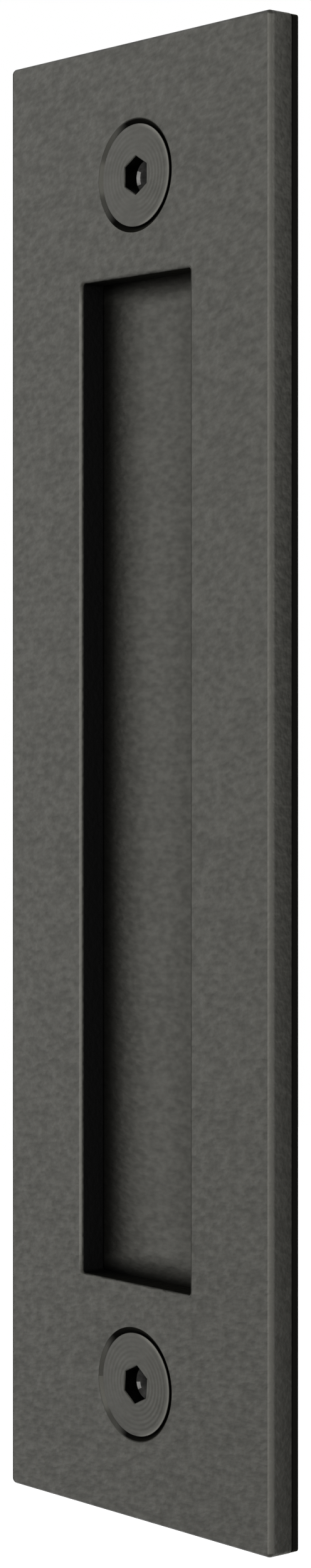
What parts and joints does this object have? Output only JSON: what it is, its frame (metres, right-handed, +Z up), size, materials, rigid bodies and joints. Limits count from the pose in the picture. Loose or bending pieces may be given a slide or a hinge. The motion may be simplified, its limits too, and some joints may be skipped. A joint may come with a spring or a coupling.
{
  "type": "recessed handle",
  "caption": "Flat rectangular recessed handle for a sliding door: coated steel face plate with a long finger recess, a thin back sheet and flat-head socket screws at the ends.",
  "frame": {"origin": "centre of the back of the sheet, on the plane that lies on the door leaf", "axes": "+Z up along the length, +Y out of the back into the door leaf, so that the front looks along -Y, and +X to the right as seen from the front"},
  "size_m": [0.06, 0.0251, 0.22],
  "materials": {
    "plate_coat": "fine sandy matt black powder coat on steel, dark grey where it catches the light",
    "sheet_coat": "the same matt black powder coat on thin steel sheet",
    "screw_coat": "matt black coat on the head, blackened steel on the thread"
  },
  "bodies": {
    "root": {"face_plate": "plate_coat", "back_sheet": "sheet_coat", "mounting_screws": "screw_coat"}
  },
  "joints": []
}
